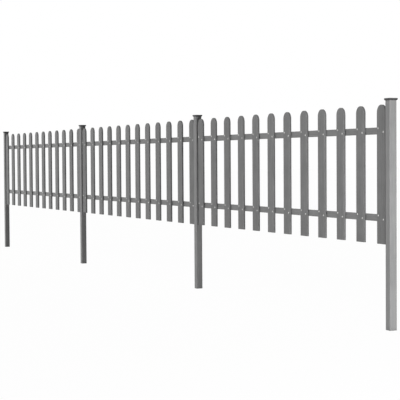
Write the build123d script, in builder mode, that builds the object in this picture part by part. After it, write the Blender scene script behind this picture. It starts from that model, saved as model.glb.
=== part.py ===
"""A low picket fence in wood-plastic composite: three bays between four capped posts.

X runs along the fence, the pickets face -Y and Z is up. The origin is the centre of the
foot of the first post. All sizes are in millimetres.
"""

import os

from build123d import *

# The run of the fence
FENCE_LENGTH = 6000
BAYS = 3
PICKETS_PER_BAY = 12

# Posts: hollow square extrusions, open at the foot
POST_WIDTH = 35
POST_WALL = 3.5
POST_CORNER_RADIUS = 2.5
POST_CORE_RADIUS = 1.0
POST_HEIGHT = 980

# Pickets: flat boards with a half-round head
PICKET_WIDTH = 65
PICKET_THICKNESS = 10
PICKET_LENGTH = 600
PICKET_LIFT = 365
PICKET_EASE = 2
PICKET_RECESS = 6.5
PICKET_TO_POST = 12

# Rails: two to a bay, behind the pickets
RAIL_HEIGHT = 30
RAIL_DEPTH = 14
RAIL_RADIUS = 2
RAIL_INSET = 97
RAIL_TONGUE = 15

# Slots that take the rails, cut through the post walls
SLOT_CLEARANCE = 0.4
SLOT_RADIUS = 1.5

# Caps: a flared plate over the rim with a ribbed skirt that plugs the post
CAP_OVERHANG = 5
CAP_THICKNESS = 10
CAP_FLARE = 4
CAP_FOOT_RADIUS = 1.5
CAP_EASE = 1
SKIRT_DEPTH = 16
SKIRT_WALL = 2
SKIRT_CLEARANCE = 0.2
SKIRT_RIB = 2
SKIRT_RIB_SPACING = 12

# Places that follow from the sizes above
BAY_PITCH = (FENCE_LENGTH - POST_WIDTH) / BAYS
POST_CORE = POST_WIDTH - 2 * POST_WALL
BAY_OPENING = BAY_PITCH - POST_WIDTH
PICKET_PITCH = (BAY_OPENING - 2 * PICKET_TO_POST - PICKET_WIDTH) / (PICKETS_PER_BAY - 1)
PICKET_FRONT = -POST_WIDTH / 2 + PICKET_RECESS
PICKET_BACK = PICKET_FRONT + PICKET_THICKNESS
PICKET_SHOULDER = PICKET_LENGTH - PICKET_WIDTH / 2
RAIL_LENGTH = BAY_OPENING + 2 * RAIL_TONGUE
RAIL_MIDDLE = PICKET_BACK + RAIL_DEPTH / 2
RAIL_BOTTOMS = {
    "bottom": PICKET_LIFT + RAIL_INSET,
    "top": PICKET_LIFT + PICKET_LENGTH - RAIL_INSET - RAIL_HEIGHT,
}
SLOT_HEIGHT = RAIL_HEIGHT + SLOT_CLEARANCE
SLOT_DEPTH = RAIL_DEPTH + 2 * SLOT_CLEARANCE
CAP_WIDTH = POST_WIDTH + 2 * CAP_OVERHANG
CAP_CORNER_RADIUS = CAP_FLARE + CAP_FOOT_RADIUS
SKIRT_WIDTH = POST_CORE - 2 * SKIRT_CLEARANCE
SKIRT_BORE = SKIRT_WIDTH - 2 * SKIRT_WALL


def write_piece(part, name):
    """Label one piece and write it as a STEP file of the same name."""
    part.label = name
    export_step(part, f"parts/{name}.step")


def post_x(number):
    """Centre of a post along the fence, counted from 0 at the origin."""
    return number * BAY_PITCH


def bay_sides(number):
    """The sides of a post, -1 or 1 along X, that carry the rails of a bay."""
    sides = []
    if number > 0:
        sides.append(-1)
    if number < BAYS:
        sides.append(1)
    return sides


os.makedirs("parts", exist_ok=True)

# Posts, with a slot for each rail end in the walls that face a bay
for number in range(BAYS + 1):
    with BuildPart() as post:
        with BuildSketch(Plane((post_x(number), 0, 0))):
            RectangleRounded(POST_WIDTH, POST_WIDTH, POST_CORNER_RADIUS)
            RectangleRounded(POST_CORE, POST_CORE, POST_CORE_RADIUS, mode=Mode.SUBTRACT)
        extrude(amount=POST_HEIGHT)
        with BuildSketch(Plane.YZ.offset(post_x(number))) as slots:
            for rail_bottom in RAIL_BOTTOMS.values():
                with Locations((RAIL_MIDDLE, rail_bottom + SLOT_HEIGHT / 2)):
                    RectangleRounded(SLOT_DEPTH, SLOT_HEIGHT, SLOT_RADIUS)
        for side in bay_sides(number):
            extrude(slots.sketch, amount=side * POST_WIDTH, mode=Mode.SUBTRACT)
    write_piece(post.part, f"post_{number + 1}")

# Caps: the plate flares out from the rim to a flat-topped lip, and ribs on the skirt grip the core
for number in range(BAYS + 1):
    rim = Plane((post_x(number), 0, POST_HEIGHT))
    with BuildPart() as cap:
        with BuildSketch(rim):
            RectangleRounded(CAP_WIDTH, CAP_WIDTH, CAP_CORNER_RADIUS)
        extrude(amount=CAP_THICKNESS)
        chamfer(cap.faces().sort_by(Axis.Z)[0].edges(), CAP_FLARE)
        chamfer(cap.faces().sort_by(Axis.Z)[-1].edges(), CAP_EASE)
        with BuildSketch(rim):
            RectangleRounded(SKIRT_WIDTH, SKIRT_WIDTH, POST_CORE_RADIUS)
            with GridLocations(SKIRT_RIB_SPACING, 0, 2, 1):
                Rectangle(SKIRT_RIB, POST_CORE)
            with GridLocations(0, SKIRT_RIB_SPACING, 1, 2):
                Rectangle(POST_CORE, SKIRT_RIB)
            Rectangle(SKIRT_BORE, SKIRT_BORE, mode=Mode.SUBTRACT)
        extrude(amount=-SKIRT_DEPTH)
    write_piece(cap.part, f"post_{number + 1}_cap")

# Outline of one picket, standing on its square lower end
with BuildSketch() as picket:
    with BuildLine():
        Polyline(
            (-PICKET_WIDTH / 2, PICKET_SHOULDER),
            (-PICKET_WIDTH / 2, 0),
            (PICKET_WIDTH / 2, 0),
            (PICKET_WIDTH / 2, PICKET_SHOULDER),
        )
        ThreePointArc(
            (PICKET_WIDTH / 2, PICKET_SHOULDER),
            (0, PICKET_LENGTH),
            (-PICKET_WIDTH / 2, PICKET_SHOULDER),
        )
    make_face()

# Panels: a row of pickets on two rails, whose ends reach into the posts
for bay in range(BAYS):
    bay_middle = (post_x(bay) + post_x(bay + 1)) / 2
    row = Plane((bay_middle, PICKET_BACK, PICKET_LIFT), x_dir=(1, 0, 0), z_dir=(0, -1, 0))
    with BuildPart() as pickets:
        with BuildSketch(row):
            with GridLocations(PICKET_PITCH, 0, PICKETS_PER_BAY, 1):
                add(picket.sketch)
        extrude(amount=PICKET_THICKNESS)
        fronts = pickets.faces().filter_by(Axis.Y).group_by(Axis.Y)[0]
        chamfer(fronts.edges(), PICKET_EASE)
    write_piece(pickets.part, f"panel_{bay + 1}_pickets")

    for level, rail_bottom in RAIL_BOTTOMS.items():
        with BuildPart() as rail:
            with BuildSketch(Plane.YZ.offset(bay_middle - RAIL_LENGTH / 2)):
                with Locations((RAIL_MIDDLE, rail_bottom + RAIL_HEIGHT / 2)):
                    RectangleRounded(RAIL_DEPTH, RAIL_HEIGHT, RAIL_RADIUS)
            extrude(amount=RAIL_LENGTH)
        write_piece(rail.part, f"panel_{bay + 1}_{level}_rail")
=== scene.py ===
"""Picket fence in grey wood-plastic composite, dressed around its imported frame."""

import math
import random

import bmesh
import bpy
from mathutils import Matrix, Vector


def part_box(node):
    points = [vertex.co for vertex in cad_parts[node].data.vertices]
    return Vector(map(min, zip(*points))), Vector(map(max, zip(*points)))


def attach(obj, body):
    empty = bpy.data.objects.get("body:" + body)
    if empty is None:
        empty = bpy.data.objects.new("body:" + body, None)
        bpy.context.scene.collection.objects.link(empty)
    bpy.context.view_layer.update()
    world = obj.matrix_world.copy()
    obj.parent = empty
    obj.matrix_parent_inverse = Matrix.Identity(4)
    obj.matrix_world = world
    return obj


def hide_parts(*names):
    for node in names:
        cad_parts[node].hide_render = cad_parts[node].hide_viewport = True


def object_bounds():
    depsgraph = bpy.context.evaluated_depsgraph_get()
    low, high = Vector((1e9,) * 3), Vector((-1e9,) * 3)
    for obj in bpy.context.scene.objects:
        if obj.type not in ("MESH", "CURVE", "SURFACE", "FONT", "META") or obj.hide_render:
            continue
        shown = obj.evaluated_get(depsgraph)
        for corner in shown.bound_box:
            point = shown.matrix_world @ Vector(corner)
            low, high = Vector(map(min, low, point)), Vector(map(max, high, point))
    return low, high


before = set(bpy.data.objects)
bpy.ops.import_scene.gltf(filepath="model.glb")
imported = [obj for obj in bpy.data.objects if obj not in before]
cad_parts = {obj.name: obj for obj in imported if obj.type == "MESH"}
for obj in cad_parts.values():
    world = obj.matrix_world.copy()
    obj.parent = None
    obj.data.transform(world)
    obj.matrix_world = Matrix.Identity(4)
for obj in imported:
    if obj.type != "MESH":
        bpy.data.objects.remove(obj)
CAD_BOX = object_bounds()

bl_info = {
    "name": "Picket fence",
    "version": (1, 0, 0),
    "blender": (4, 5, 0),
    "location": "View3D > Sidebar > Fence",
    "description": "Dresses a low composite picket fence: pickets, rails, posts, caps and screws",
    "category": "Object",
}

MM = 0.001
ROOT = "root"
PANELS = ("panel_1", "panel_2", "panel_3")
POSTS = ("post_1", "post_2", "post_3", "post_4")

# Vertices of a solid closer than this are one
WELD_REACH = 0.01 * MM

# Axes that the extrusions run along
ALONG_FENCE = 0
UPRIGHT = 2

# Seeds of the boards' tones and of the screws' turns
TONE_SEED = 11
TURN_SEED = 5

# Floor: the grey that it throws back as light, the one it shows, and its share of plain white
FLOOR_BOUNCE = "#8c8c8c"
FLOOR_SHOWN = "#f2f2f2"
FLOOR_WHITE = 0.97

# Sides that the front and back lights come from
FRONT_SIDE = (0.0, -1.0, 0.55)
BACK_SIDE = (-0.3, 1.0, 0.55)

# Headings along the fence, from -1 to 1, between which the sky dims towards the near end
SKY_FULL = -0.2
SKY_DIM = 0.5

# End lamp: its way beyond the near end and out to the front, its height and its width, in metres
END_LAMP_AWAY = 2.8
END_LAMP_OUT = 0.18
END_LAMP_HEIGHT = 0.25
END_LAMP_WIDTH = 0.4

# Far lamp: its place and its aim from the foot of the far post, and its width, in metres
FAR_LAMP_PLACE = (0.2, -2.0, 0.8)
FAR_LAMP_AIM = (0.6, 0.0, 0.65)
FAR_LAMP_WIDTH = 0.6


def linear(hex_colour):
    """Turn an sRGB hex colour into linear RGBA."""
    channels = []
    for start in (1, 3, 5):
        value = int(hex_colour[start:start + 2], 16) / 255
        if value <= 0.04045:
            channels.append(value / 12.92)
        else:
            channels.append(((value + 0.055) / 1.055) ** 2.4)
    return (*channels, 1.0)


class FenceSizes(bpy.types.PropertyGroup):
    """Sizes of the pieces that the frame doesn't hold."""

    picket_edge: bpy.props.FloatProperty(
        name="Picket edge", description="Radius of the eased edge on a picket's front",
        default=2.0 * MM, unit="LENGTH")
    picket_back_edge: bpy.props.FloatProperty(
        name="Picket back edge", description="Radius of the edge on a picket's back",
        default=0.5 * MM, unit="LENGTH")
    head_steps: bpy.props.IntProperty(
        name="Head steps", description="Straight steps round a picket's half-round head",
        default=40, min=8)
    screw_head: bpy.props.FloatProperty(
        name="Screw head", description="Diameter of a screw head",
        default=8.0 * MM, unit="LENGTH")
    screw_rise: bpy.props.FloatProperty(
        name="Screw rise", description="Height of a screw head over the picket",
        default=1.4 * MM, unit="LENGTH")
    upper_screw_in: bpy.props.FloatProperty(
        name="Upper screw inset", description="From a picket's left edge to its upper screw",
        default=11.0 * MM, unit="LENGTH")
    upper_screw_down: bpy.props.FloatProperty(
        name="Upper screw drop", description="From the rail's top to the upper screw",
        default=4.5 * MM, unit="LENGTH")
    lower_screw_in: bpy.props.FloatProperty(
        name="Lower screw inset", description="From a picket's right edge to its lower screw",
        default=13.5 * MM, unit="LENGTH")
    lower_screw_up: bpy.props.FloatProperty(
        name="Lower screw rise", description="From the rail's bottom to the lower screw",
        default=9.0 * MM, unit="LENGTH")
    cap_lip_edge: bpy.props.FloatProperty(
        name="Cap edge", description="Radius of the rounded edge round a cap's top",
        default=1.6 * MM, unit="LENGTH")
    cap_flare: bpy.props.FloatProperty(
        name="Cap flare", description="Height and reach of the slope under a cap's lip",
        default=4.0 * MM, unit="LENGTH")
    cap_corner: bpy.props.FloatProperty(
        name="Cap corner", description="Radius of a cap's corners at its lip",
        default=5.5 * MM, unit="LENGTH")
    cap_crown: bpy.props.FloatProperty(
        name="Cap rise", description="How far the middle of a cap's top stands over its edge",
        default=0.5 * MM, unit="LENGTH")
    skirt_clearance: bpy.props.FloatProperty(
        name="Skirt clearance", description="Space between a cap's skirt and the post's wall",
        default=0.2 * MM, unit="LENGTH")
    skirt_wall: bpy.props.FloatProperty(
        name="Skirt wall", description="Wall of the skirt inside the post",
        default=2.0 * MM, unit="LENGTH")
    post_wall: bpy.props.FloatProperty(
        name="Post wall", description="Wall of the hollow posts",
        default=3.5 * MM, unit="LENGTH")


class FenceColours(bpy.types.PropertyGroup):
    """Colours of the finishes, in linear light."""

    board: bpy.props.FloatVectorProperty(
        name="Board", description="Brushed face of the composite boards",
        default=linear("#878787"), size=4, subtype="COLOR", min=0, max=1)
    board_dark: bpy.props.FloatVectorProperty(
        name="Board grain", description="Darker fibres in the composite",
        default=linear("#6e6e6e"), size=4, subtype="COLOR", min=0, max=1)
    rail: bpy.props.FloatVectorProperty(
        name="Rail", description="Brushed face of the rails",
        default=linear("#989898"), size=4, subtype="COLOR", min=0, max=1)
    rail_dark: bpy.props.FloatVectorProperty(
        name="Rail grain", description="Darker fibres in the rails",
        default=linear("#808080"), size=4, subtype="COLOR", min=0, max=1)
    post: bpy.props.FloatVectorProperty(
        name="Post", description="Face of the extruded posts",
        default=linear("#9d9d9d"), size=4, subtype="COLOR", min=0, max=1)
    post_dark: bpy.props.FloatVectorProperty(
        name="Post grain", description="Darker fibres in the posts",
        default=linear("#888888"), size=4, subtype="COLOR", min=0, max=1)
    cap: bpy.props.FloatVectorProperty(
        name="Cap", description="Moulded plastic of the post caps",
        default=linear("#343435"), size=4, subtype="COLOR", min=0, max=1)
    screw: bpy.props.FloatVectorProperty(
        name="Screw", description="Zinc plating on the screw heads",
        default=linear("#d2d2d0"), size=4, subtype="COLOR", min=0, max=1)


class FenceStage(bpy.types.PropertyGroup):
    """Camera, lamps and floor."""

    camera_place: bpy.props.FloatVectorProperty(
        name="Camera", description="Where the camera stands",
        default=(10.467, -2.948, 0.7295), unit="LENGTH")
    camera_turn: bpy.props.FloatProperty(
        name="Turn", description="Turn of the camera from the fence's back towards its far end",
        default=math.radians(65.479), subtype="ANGLE")
    camera_tilt: bpy.props.FloatProperty(
        name="Tilt", description="Upward tilt of the camera",
        default=math.radians(-1.804), subtype="ANGLE")
    camera_roll: bpy.props.FloatProperty(
        name="Roll", description="Roll of the camera about its line of sight",
        default=math.radians(-0.386), subtype="ANGLE")
    focal_pixels: bpy.props.FloatProperty(
        name="Focal length", description="Focal length of the view, in pixels of its image",
        default=1249.8)
    image_pixels: bpy.props.IntProperty(
        name="Image width", description="Width of the image that the focal length goes with",
        default=400)
    floor_size: bpy.props.FloatProperty(
        name="Floor", description="Side of the floor", default=160.0, unit="LENGTH")
    sky_strength: bpy.props.FloatProperty(
        name="Sky", description="Strength of the even light all round", default=0.45)
    end_sky_strength: bpy.props.FloatProperty(
        name="Sky at the near end", description="Strength of that light from beyond the near end",
        default=0.0)
    front_strength: bpy.props.FloatProperty(
        name="Front light", description="Strength of the light on the front", default=1.5)
    back_strength: bpy.props.FloatProperty(
        name="Back light", description="Strength of the light on the back", default=0.9)
    light_spread: bpy.props.FloatProperty(
        name="Spread", description="Angle that the front and back lights fill, to soften shadows",
        default=math.radians(30), subtype="ANGLE")
    end_power: bpy.props.FloatProperty(
        name="End lamp", description="Power of the lamp beyond the near end", default=82.0,
        unit="POWER")
    far_power: bpy.props.FloatProperty(
        name="Far lamp", description="Power of the lamp in front of the far end", default=6.0,
        unit="POWER")


# Meshes

def solid_boxes(node):
    """Low and high corners of each separate solid in a CAD node, in order along the fence."""
    weld = bmesh.new()
    weld.from_mesh(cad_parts[node].data)
    bmesh.ops.remove_doubles(weld, verts=weld.verts, dist=WELD_REACH)
    unseen = set(weld.verts)
    boxes = []
    while unseen:
        reached = [unseen.pop()]
        solid = []
        while reached:
            vert = reached.pop()
            solid.append(vert.co.copy())
            for edge in vert.link_edges:
                other = edge.other_vert(vert)
                if other in unseen:
                    unseen.remove(other)
                    reached.append(other)
        low = Vector(min(point[axis] for point in solid) for axis in range(3))
        high = Vector(max(point[axis] for point in solid) for axis in range(3))
        boxes.append((low, high))
    weld.free()
    return sorted(boxes, key=lambda box: box[0].x)


def add_piece(name, shape, material, smooth_angle=35):
    """Make a riding piece from a bmesh, with faces smoothed below an angle in degrees."""
    bmesh.ops.recalc_face_normals(shape, faces=shape.faces)
    mesh = bpy.data.meshes.new(name)
    shape.to_mesh(mesh)
    shape.free()
    mesh.materials.append(material)
    mesh.shade_smooth()
    mesh.set_sharp_from_angle(angle=math.radians(smooth_angle))
    piece = bpy.data.objects.new(name, mesh)
    bpy.context.scene.collection.objects.link(piece)
    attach(piece, ROOT)
    return piece


def dress(node, material):
    """Give a CAD node its finish."""
    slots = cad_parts[node].data.materials
    slots.clear()
    slots.append(material)


def skin_rings(shape, rings):
    """Join closed rings of points, each the same count, close both ends and give the faces."""
    rows = [[shape.verts.new(point) for point in ring] for ring in rings]
    faces = []
    for row, following in zip(rows, rows[1:]):
        for index in range(len(row)):
            after = (index + 1) % len(row)
            corners = (row[index], row[after], following[after], following[index])
            faces.append(shape.faces.new(corners))
    for row in (rows[0], rows[-1]):
        faces.append(shape.faces.new(row))
    return faces


def rounded_square(centre, width, radius, height, steps=6):
    """Points round a square with rounded corners, at a height."""
    points = []
    inner = width / 2 - radius
    for quarter in range(4):
        sign_x = 1 if quarter in (0, 3) else -1
        sign_y = 1 if quarter in (0, 1) else -1
        for step in range(steps + 1):
            angle = math.pi / 2 * (quarter + step / steps)
            points.append((
                centre.x + sign_x * inner + radius * math.cos(angle),
                centre.y + sign_y * inner + radius * math.sin(angle),
                height,
            ))
    return points


# Materials

def new_material(name):
    """A node material, with its tree and its principled shader."""
    material = bpy.data.materials.new(name)
    material.use_nodes = True
    return material, material.node_tree, material.node_tree.nodes["Principled BSDF"]


def add_node(tree, kind, settings=None, inputs=None):
    """Add a shader node, set its options and set or link its inputs."""
    node = tree.nodes.new(kind)
    for option, value in (settings or {}).items():
        setattr(node, option, value)
    for socket, value in (inputs or {}).items():
        if isinstance(value, bpy.types.NodeSocket):
            tree.links.new(value, node.inputs[socket])
        else:
            node.inputs[socket].default_value = value
    return node


def wood_plastic_composite(name, face, grain, along, painted_flank_light, painted_top_shade):
    """Extruded wood-plastic composite with brushed faces."""
    # Wood flour in plastic gives the eye an even, dull grey with fine streaks along the
    # extrusion, and no knots. A board is brushed on its broad faces. Faces turned away from
    # the front and back get painted light of a level of their own, lighter or darker, faces
    # turned upwards get painted shade, and narrow corners get painted shade.
    material, tree, shader = new_material(name)
    # brushing lines about 0.8 mm wide, drawn 2.5 mm wide so that they show
    line = 2.5 * MM
    stretch = 60.0
    scale = [1 / line] * 3
    scale[along] = 1 / (line * stretch)
    place = add_node(tree, "ShaderNodeTexCoord").outputs["Object"]
    tone = add_node(tree, "ShaderNodeAttribute", {"attribute_name": "tone"}).outputs["Fac"]
    normal = add_node(tree, "ShaderNodeNewGeometry").outputs["Normal"]
    facing = add_node(tree, "ShaderNodeSeparateXYZ", inputs={"Vector": normal}).outputs
    broad = add_node(tree, "ShaderNodeMath", {"operation": "ABSOLUTE"}, {0: facing["Y"]})
    streaked = add_node(tree, "ShaderNodeMapping", inputs={"Vector": place, "Scale": scale})
    streaks = add_node(
        tree, "ShaderNodeTexNoise", {"noise_dimensions": "4D"},
        {"Vector": streaked.outputs["Vector"], "W": tone, "Scale": 1.0, "Detail": 3.0,
         "Roughness": 0.6})
    # wood flour in grains of about 2 mm, and cloudy tone over a hand's breadth
    flour = add_node(
        tree, "ShaderNodeTexNoise",
        inputs={"Vector": place, "Scale": 1 / (2 * MM), "Detail": 1.0})
    clouds = add_node(
        tree, "ShaderNodeTexNoise",
        inputs={"Vector": place, "Scale": 1 / (90 * MM), "Detail": 2.0})
    flour_share = 0.3
    cloud_share = 0.25
    mixed = add_node(
        tree, "ShaderNodeMix", {"data_type": "FLOAT"},
        {"Factor": flour_share, "A": streaks.outputs["Fac"], "B": flour.outputs["Fac"]})
    clouded = add_node(
        tree, "ShaderNodeMix", {"data_type": "FLOAT"},
        {"Factor": cloud_share, "A": mixed.outputs["Result"], "B": clouds.outputs["Fac"]})
    # levels of that mixture at which it is all grain and all face
    grain_stop = 0.36
    face_stop = 0.62
    ramp = add_node(tree, "ShaderNodeValToRGB", inputs={"Fac": clouded.outputs["Result"]})
    stops = ramp.color_ramp.elements
    for stop, position, colour in zip(stops, (grain_stop, face_stop), (grain, face)):
        stop.position = position
        stop.color = colour
    toned = add_node(
        tree, "ShaderNodeMapRange", inputs={"Value": tone, "To Min": 0.93, "To Max": 1.07})
    # painted highlight or painted shade on faces turned away from the front and back, by their own
    # level
    shade = add_node(
        tree, "ShaderNodeMapRange",
        inputs={"Value": broad.outputs["Value"], "From Min": 0.5, "From Max": 0.98,
                "To Min": painted_flank_light, "To Max": 1.0})
    # painted shade on faces turned upwards
    upward_shade = add_node(
        tree, "ShaderNodeMapRange",
        inputs={"Value": facing["Z"], "From Min": 0.2, "From Max": 0.9,
                "To Min": 1.0, "To Max": painted_top_shade})
    # painted shade in corners between boards, rails and posts, up to 30 mm deep
    corner = add_node(tree, "ShaderNodeAmbientOcclusion", {"samples": 8}, {"Distance": 30 * MM})
    corner_shade = add_node(
        tree, "ShaderNodeMapRange",
        inputs={"Value": corner.outputs["AO"], "From Min": 0.3, "From Max": 0.9,
                "To Min": 0.8, "To Max": 1.0})
    level = toned.outputs["Result"]
    for share in (shade, upward_shade, corner_shade):
        level = add_node(
            tree, "ShaderNodeMath", {"operation": "MULTIPLY"},
            {0: level, 1: share.outputs["Result"]}).outputs["Value"]
    coloured = add_node(
        tree, "ShaderNodeVectorMath", {"operation": "SCALE"},
        {"Vector": ramp.outputs["Color"], "Scale": level})
    tree.links.new(coloured.outputs["Vector"], shader.inputs["Base Color"])
    dullness = add_node(
        tree, "ShaderNodeMapRange",
        inputs={"Value": streaks.outputs["Fac"], "To Min": 0.78, "To Max": 0.56})
    tree.links.new(dullness.outputs["Result"], shader.inputs["Roughness"])
    relief = add_node(
        tree, "ShaderNodeBump",
        inputs={"Height": mixed.outputs["Result"], "Strength": 0.35, "Distance": 0.4 * MM})
    tree.links.new(relief.outputs["Normal"], shader.inputs["Normal"])
    shader.inputs["IOR"].default_value = 1.5
    return material


def moulded_polypropylene(name, colour):
    """Injection-moulded polypropylene."""
    # The mould's spark-eroded grain gives the eye a dark, finely pitted skin with a soft sheen.
    material, tree, shader = new_material(name)
    place = add_node(tree, "ShaderNodeTexCoord").outputs["Object"]
    # mould grain of about 0.5 mm, drawn 1.2 mm wide so that it shows
    pits = add_node(
        tree, "ShaderNodeTexNoise",
        inputs={"Vector": place, "Scale": 1 / (1.2 * MM), "Detail": 2.0})
    bloom = add_node(
        tree, "ShaderNodeTexNoise",
        inputs={"Vector": place, "Scale": 1 / (25 * MM), "Detail": 2.0})
    worn_level = 1.35
    worn = tuple(min(1.0, channel * worn_level) for channel in colour[:3]) + (1.0,)
    tint = add_node(
        tree, "ShaderNodeMix", {"data_type": "RGBA"},
        {"Factor": bloom.outputs["Fac"], "A": tuple(colour), "B": worn})
    tree.links.new(tint.outputs["Result"], shader.inputs["Base Color"])
    dullness = add_node(
        tree, "ShaderNodeMapRange",
        inputs={"Value": bloom.outputs["Fac"], "To Min": 0.45, "To Max": 0.62})
    tree.links.new(dullness.outputs["Result"], shader.inputs["Roughness"])
    relief = add_node(
        tree, "ShaderNodeBump",
        inputs={"Height": pits.outputs["Fac"], "Strength": 0.25, "Distance": 0.2 * MM})
    tree.links.new(relief.outputs["Normal"], shader.inputs["Normal"])
    shader.inputs["IOR"].default_value = 1.49
    return material


def zinc_plated_steel(name, colour):
    """Zinc-plated steel."""
    # Plating gives the eye a bright grey metal, a little uneven where the zinc crystallised.
    material, tree, shader = new_material(name)
    place = add_node(tree, "ShaderNodeTexCoord").outputs["Object"]
    # plating crystals of about 1 mm
    crystals = add_node(
        tree, "ShaderNodeTexVoronoi", inputs={"Vector": place, "Scale": 1 / (1 * MM)})
    dim_level = 0.8
    dim = tuple(channel * dim_level for channel in colour[:3]) + (1.0,)
    tint = add_node(
        tree, "ShaderNodeMix", {"data_type": "RGBA"},
        {"Factor": crystals.outputs["Distance"], "A": tuple(colour), "B": dim})
    tree.links.new(tint.outputs["Result"], shader.inputs["Base Color"])
    dullness = add_node(
        tree, "ShaderNodeMapRange",
        inputs={"Value": crystals.outputs["Distance"], "To Min": 0.32, "To Max": 0.48})
    tree.links.new(dullness.outputs["Result"], shader.inputs["Roughness"])
    shader.inputs["Metallic"].default_value = 1.0
    return material


# Pieces

def picket_outline(low, high, inset, steps):
    """Points round a picket seen from the front, drawn in from its edge by an inset."""
    left = low.x + inset
    right = high.x - inset
    middle = (low.x + high.x) / 2
    radius = (right - left) / 2
    shoulder = high.z - (high.x - low.x) / 2
    points = [(left, low.z + inset), (right, low.z + inset)]
    for step in range(steps + 1):
        angle = math.pi * step / steps
        points.append((middle + radius * math.cos(angle), shoulder + radius * math.sin(angle)))
    return points


def add_picket(shape, low, high, sizes, tone):
    """Add one picket: a flat board with a half-round head, its front edge rounded over."""
    tone_layer = shape.faces.layers.float["tone"]
    rings = []
    round_steps = 4
    for step in range(round_steps + 1):
        angle = math.pi / 2 * step / round_steps
        inset = sizes.picket_edge * (1 - math.sin(angle))
        depth = sizes.picket_edge * (1 - math.cos(angle))
        rings.append((low.y + depth, inset))
    rings.append((high.y - sizes.picket_back_edge, 0.0))
    rings.append((high.y, sizes.picket_back_edge))
    loops = []
    for depth, inset in rings:
        outline = picket_outline(low, high, inset, sizes.head_steps)
        loops.append([(x, depth, z) for x, z in outline])
    for face in skin_rings(shape, loops):
        face[tone_layer] = tone


class FENCE_OT_pickets(bpy.types.Operator):
    """Build the pickets of every panel with rounded edges in place of their plain solids"""

    bl_idname = "fence.pickets"
    bl_label = "Pickets"

    def execute(self, context):
        sizes = context.scene.fence_sizes
        colours = context.scene.fence_colours
        # painted highlight on the flanks and painted shade on faces turned upwards
        finish = wood_plastic_composite(
            "brushed_wood_plastic_composite", colours.board, colours.board_dark, along=UPRIGHT,
            painted_flank_light=1.3, painted_top_shade=0.55)
        tones = random.Random(TONE_SEED)
        for panel in PANELS:
            node = f"{panel}_pickets"
            shape = bmesh.new()
            shape.faces.layers.float.new("tone")
            for low, high in solid_boxes(node):
                add_picket(shape, low, high, sizes, tones.random())
            piece = add_piece(f"{panel}_boards", shape, finish)
            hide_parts(node)
        return {"FINISHED"}


class FENCE_OT_rails(bpy.types.Operator):
    """Finish the rails behind the pickets"""

    bl_idname = "fence.rails"
    bl_label = "Rails"

    def execute(self, context):
        colours = context.scene.fence_colours
        # painted shade on the rails' top and bottom faces
        finish = wood_plastic_composite(
            "brushed_wood_plastic_composite_rail", colours.rail, colours.rail_dark,
            along=ALONG_FENCE, painted_flank_light=0.45, painted_top_shade=1.0)
        for panel in PANELS:
            dress(f"{panel}_top_rail", finish)
            dress(f"{panel}_bottom_rail", finish)
        return {"FINISHED"}


class FENCE_OT_posts(bpy.types.Operator):
    """Finish the hollow posts"""

    bl_idname = "fence.posts"
    bl_label = "Posts"

    def execute(self, context):
        colours = context.scene.fence_colours
        finish = wood_plastic_composite(
            "extruded_wood_plastic_composite_post", colours.post, colours.post_dark,
            along=UPRIGHT, painted_flank_light=1.0, painted_top_shade=1.0)
        for post in POSTS:
            dress(post, finish)
        return {"FINISHED"}


def cap_rings(post, cap, sizes):
    """Rings of a cap from the roof of its hollow skirt, down and out, up the flare and over."""
    post_low, post_high = (Vector(corner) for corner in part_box(post))
    cap_low, cap_high = (Vector(corner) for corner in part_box(cap))
    centre = (post_low + post_high) / 2
    rim = post_high.z
    lip = cap_high.x - cap_low.x
    foot = lip - 2 * sizes.cap_flare
    foot_corner = sizes.cap_corner - sizes.cap_flare
    skirt = post_high.x - post_low.x - 2 * (sizes.post_wall + sizes.skirt_clearance)
    bore = skirt - 2 * sizes.skirt_wall
    edge = sizes.cap_lip_edge
    top = cap_high.z - sizes.cap_crown
    bore_corner = 0.5 * MM
    skirt_corner = 1.0 * MM
    # the lip's lower edge is eased by this much
    ease = 0.4 * MM
    levels = [
        (bore, bore_corner, rim),
        (bore, bore_corner, cap_low.z),
        (skirt, skirt_corner, cap_low.z),
        (skirt, skirt_corner, rim),
        (foot, foot_corner, rim),
        (lip - 2 * ease, sizes.cap_corner - ease, rim + sizes.cap_flare - ease),
        (lip, sizes.cap_corner, rim + sizes.cap_flare + ease),
    ]
    round_steps = 5
    for step in range(round_steps + 1):
        angle = math.pi / 2 * step / round_steps
        drawn_in = edge * (1 - math.cos(angle))
        levels.append((
            lip - 2 * drawn_in, sizes.cap_corner - drawn_in, top - edge * (1 - math.sin(angle))))
    # the top swells to its middle, and its corners round off as they close in
    flat = lip - 2 * edge
    corner_share = 0.3
    for share in (0.75, 0.5, 0.25, 0.06):
        width = flat * share
        levels.append((
            width, width * corner_share, top + sizes.cap_crown * (1 - share ** 2)))
    return [rounded_square(centre, *level) for level in levels]


class FENCE_OT_caps(bpy.types.Operator):
    """Build the moulded caps on the posts, with rounded lips over their hollow skirts"""

    bl_idname = "fence.caps"
    bl_label = "Caps"

    def execute(self, context):
        sizes = context.scene.fence_sizes
        finish = moulded_polypropylene(
            "moulded_polypropylene_cap", context.scene.fence_colours.cap)
        for post in POSTS:
            cap = f"{post}_cap"
            shape = bmesh.new()
            skin_rings(shape, cap_rings(post, cap, sizes))
            piece = add_piece(f"{cap}_moulding", shape, finish, smooth_angle=30)
            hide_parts(cap)
        return {"FINISHED"}


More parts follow.
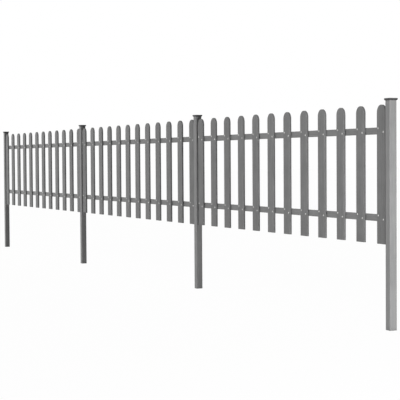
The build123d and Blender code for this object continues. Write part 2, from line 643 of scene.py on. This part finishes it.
def screw_rings(sizes):
    """Rings of one pan-head screw facing -Y at the origin, from its foot into its cross recess."""
    radius = sizes.screw_head / 2
    rise = sizes.screw_rise
    around = 24
    angles = [math.tau * step / around for step in range(around)]
    # reach and height of the dome and of the recess, as shares of the head's radius and rise
    dome = ((1.0, 0.0), (1.0, 0.35), (0.93, 0.62), (0.78, 0.84), (0.55, 0.96))
    recess_heights = (1.0, 0.35)
    arm_reach = 0.5
    hub_reach = 0.1755
    # an arm of the cross takes up this angle on each side of its middle
    arm_turn = math.radians(24)
    cross = []
    for angle in angles:
        quarter = (angle + math.pi / 4) % (math.pi / 2) - math.pi / 4
        cross.append(arm_reach if abs(quarter) < arm_turn else hub_reach)
    outlines = [([reach] * around, height) for reach, height in dome]
    outlines += [(cross, height) for height in recess_heights]
    rings = []
    for reaches, height in outlines:
        rings.append([
            (radius * reach * math.cos(angle), -rise * height, radius * reach * math.sin(angle))
            for reach, angle in zip(reaches, angles)])
    return rings


class FENCE_OT_screws(bpy.types.Operator):
    """Drive two screws through each picket into each rail"""

    bl_idname = "fence.screws"
    bl_label = "Screws"

    def execute(self, context):
        sizes = context.scene.fence_sizes
        finish = zinc_plated_steel("zinc_plated_steel_screw", context.scene.fence_colours.screw)
        turns = random.Random(TURN_SEED)
        rings = screw_rings(sizes)
        for panel in PANELS:
            shape = bmesh.new()
            for low, high in solid_boxes(f"{panel}_pickets"):
                for level in ("top", "bottom"):
                    rail_low, rail_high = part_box(f"{panel}_{level}_rail")
                    spots = (
                        (low.x + sizes.upper_screw_in, rail_high[2] - sizes.upper_screw_down),
                        (high.x - sizes.lower_screw_in, rail_low[2] + sizes.lower_screw_up),
                    )
                    for x, z in spots:
                        turn = Matrix.Rotation(turns.uniform(0, math.tau), 4, "Y")
                        place = Matrix.Translation((x, low.y, z)) @ turn
                        skin_rings(
                            shape, [[place @ Vector(point) for point in ring] for ring in rings])
            add_piece(f"{panel}_screws", shape, finish, smooth_angle=40)
        return {"FINISHED"}


# Stage

def white_to_camera(tree, share):
    """A factor that is a share for the eye, gloss and glass, and nothing for light thrown back."""
    path = add_node(tree, "ShaderNodeLightPath")
    seen = add_node(
        tree, "ShaderNodeMath", {"operation": "MAXIMUM"},
        {0: path.outputs["Is Camera Ray"], 1: path.outputs["Is Glossy Ray"]})
    seen = add_node(
        tree, "ShaderNodeMath", {"operation": "MAXIMUM"},
        {0: seen.outputs["Value"], 1: path.outputs["Is Transmission Ray"]})
    factor = add_node(
        tree, "ShaderNodeMath", {"operation": "MULTIPLY"},
        {0: seen.outputs["Value"], 1: share})
    return factor.outputs["Value"]


def add_lamp(name, place, aim, power, size):
    """A square area lamp that faces a point."""
    lamp = bpy.data.lights.new(name, "AREA")
    lamp.energy = power
    lamp.size = size
    rig = bpy.data.objects.new(name, lamp)
    rig.location = place
    rig.rotation_euler = (Vector(aim) - Vector(place)).to_track_quat("-Z", "Y").to_euler()
    bpy.context.scene.collection.objects.link(rig)


def add_even_light(name, side, strength, spread):
    """Light from far off on one side, as strong at one end of the fence as at the other."""
    lamp = bpy.data.lights.new(name, "SUN")
    lamp.energy = strength
    lamp.angle = spread
    rig = bpy.data.objects.new(name, lamp)
    rig.rotation_euler = (-Vector(side)).to_track_quat("-Z", "Y").to_euler()
    bpy.context.scene.collection.objects.link(rig)


class FENCE_OT_stage(bpy.types.Operator):
    """Set the floor, the light and the camera"""

    bl_idname = "fence.stage"
    bl_label = "Stage"

    def execute(self, context):
        stage = context.scene.fence_stage
        self.add_floor(stage)
        self.add_light(stage)
        self.add_camera(stage)
        context.scene.view_settings.view_transform = "Standard"
        return {"FINISHED"}

    def add_floor(self, stage):
        """A wide floor at the foot of the posts, white to the eye, that throws little light up."""
        half = stage.floor_size / 2
        shape = bmesh.new()
        bmesh.ops.create_grid(shape, x_segments=8, y_segments=8, size=half)
        mesh = bpy.data.meshes.new("floor")
        shape.to_mesh(mesh)
        shape.free()
        material, tree, shader = new_material("white_studio_floor")
        shown = add_node(
            tree, "ShaderNodeMix", {"data_type": "RGBA"},
            {"Factor": white_to_camera(tree, 1.0),
             "A": linear(FLOOR_BOUNCE), "B": linear(FLOOR_SHOWN)})
        tree.links.new(shown.outputs["Result"], shader.inputs["Base Color"])
        shader.inputs["Roughness"].default_value = 0.9
        shader.inputs["Specular IOR Level"].default_value = 0.0
        glow = add_node(tree, "ShaderNodeEmission", inputs={"Color": (1, 1, 1, 1), "Strength": 1.0})
        factor = white_to_camera(tree, FLOOR_WHITE)
        mixed = add_node(
            tree, "ShaderNodeMixShader",
            inputs={0: factor, 1: shader.outputs["BSDF"], 2: glow.outputs["Emission"]})
        output = tree.nodes["Material Output"]
        tree.links.new(mixed.outputs["Shader"], output.inputs["Surface"])
        mesh.materials.append(material)
        floor = bpy.data.objects.new("floor", mesh)
        bpy.context.scene.collection.objects.link(floor)

    def add_light(self, stage):
        """Light all round but from the near end, then on front and back, and a lamp at each end."""
        end = CAD_BOX[1][0]
        world = bpy.data.worlds.new("studio")
        world.use_nodes = True
        tree = world.node_tree
        sky = tree.nodes["Background"]
        sky.inputs["Color"].default_value = (1, 1, 1, 1)
        heading = add_node(tree, "ShaderNodeTexCoord").outputs["Generated"]
        along = add_node(tree, "ShaderNodeSeparateXYZ", inputs={"Vector": heading}).outputs["X"]
        strength = add_node(
            tree, "ShaderNodeMapRange",
            inputs={"Value": along, "From Min": SKY_FULL, "From Max": SKY_DIM,
                    "To Min": stage.sky_strength, "To Max": stage.end_sky_strength})
        tree.links.new(strength.outputs["Result"], sky.inputs["Strength"])
        white = add_node(
            tree, "ShaderNodeBackground", inputs={"Color": (1, 1, 1, 1), "Strength": 1.0})
        factor = white_to_camera(tree, 1.0)
        mixed = add_node(
            tree, "ShaderNodeMixShader",
            inputs={0: factor, 1: sky.outputs["Background"], 2: white.outputs["Background"]})
        output = tree.nodes["World Output"]
        tree.links.new(mixed.outputs["Shader"], output.inputs["Surface"])
        bpy.context.scene.world = world
        add_even_light("front_light", FRONT_SIDE, stage.front_strength, stage.light_spread)
        add_even_light("back_light", BACK_SIDE, stage.back_strength, stage.light_spread)
        add_lamp(
            "end_lamp", (end + END_LAMP_AWAY, -END_LAMP_OUT, END_LAMP_HEIGHT),
            (end, 0.0, END_LAMP_HEIGHT), stage.end_power, END_LAMP_WIDTH)
        add_lamp("far_lamp", FAR_LAMP_PLACE, FAR_LAMP_AIM, stage.far_power, FAR_LAMP_WIDTH)

    def add_camera(self, stage):
        """A camera that looks along the fence from its near end."""
        view = bpy.data.cameras.new("view")
        view.sensor_width = 36.0
        view.lens = stage.focal_pixels * view.sensor_width / stage.image_pixels
        view.clip_end = 4 * stage.floor_size
        camera = bpy.data.objects.new("view", view)
        camera.matrix_world = (
            Matrix.Translation(stage.camera_place)
            @ Matrix.Rotation(stage.camera_turn, 4, "Z")
            @ Matrix.Rotation(math.pi / 2 + stage.camera_tilt, 4, "X")
            @ Matrix.Rotation(stage.camera_roll, 4, "Z"))
        bpy.context.scene.collection.objects.link(camera)
        bpy.context.scene.camera = camera


class FENCE_PT_sidebar(bpy.types.Panel):
    """Lists the pieces of the fence in the sidebar"""

    bl_label = "Picket fence"
    bl_space_type = "VIEW_3D"
    bl_region_type = "UI"
    bl_category = "Fence"

    def draw(self, context):
        for operator in PIECES:
            self.layout.operator(operator.bl_idname)
        for group in (context.scene.fence_sizes, context.scene.fence_colours):
            for name in group.__annotations__:
                self.layout.prop(group, name)


PIECES = (
    FENCE_OT_posts,
    FENCE_OT_caps,
    FENCE_OT_rails,
    FENCE_OT_pickets,
    FENCE_OT_screws,
    FENCE_OT_stage,
)
GROUPS = {"fence_sizes": FenceSizes, "fence_colours": FenceColours, "fence_stage": FenceStage}


def register():
    """Register the settings, the operators and the panel."""
    for name, group in GROUPS.items():
        bpy.utils.register_class(group)
        setattr(bpy.types.Scene, name, bpy.props.PointerProperty(type=group))
    for operator in PIECES:
        bpy.utils.register_class(operator)
    bpy.utils.register_class(FENCE_PT_sidebar)


def unregister():
    """Remove what register added."""
    bpy.utils.unregister_class(FENCE_PT_sidebar)
    for operator in reversed(PIECES):
        bpy.utils.unregister_class(operator)
    for name, group in GROUPS.items():
        delattr(bpy.types.Scene, name)
        bpy.utils.unregister_class(group)


def main():
    """Build every piece in order."""
    register()
    bpy.ops.fence.posts()
    bpy.ops.fence.caps()
    bpy.ops.fence.rails()
    bpy.ops.fence.pickets()
    bpy.ops.fence.screws()
    bpy.ops.fence.stage()


if __name__ == "__main__":
    main()
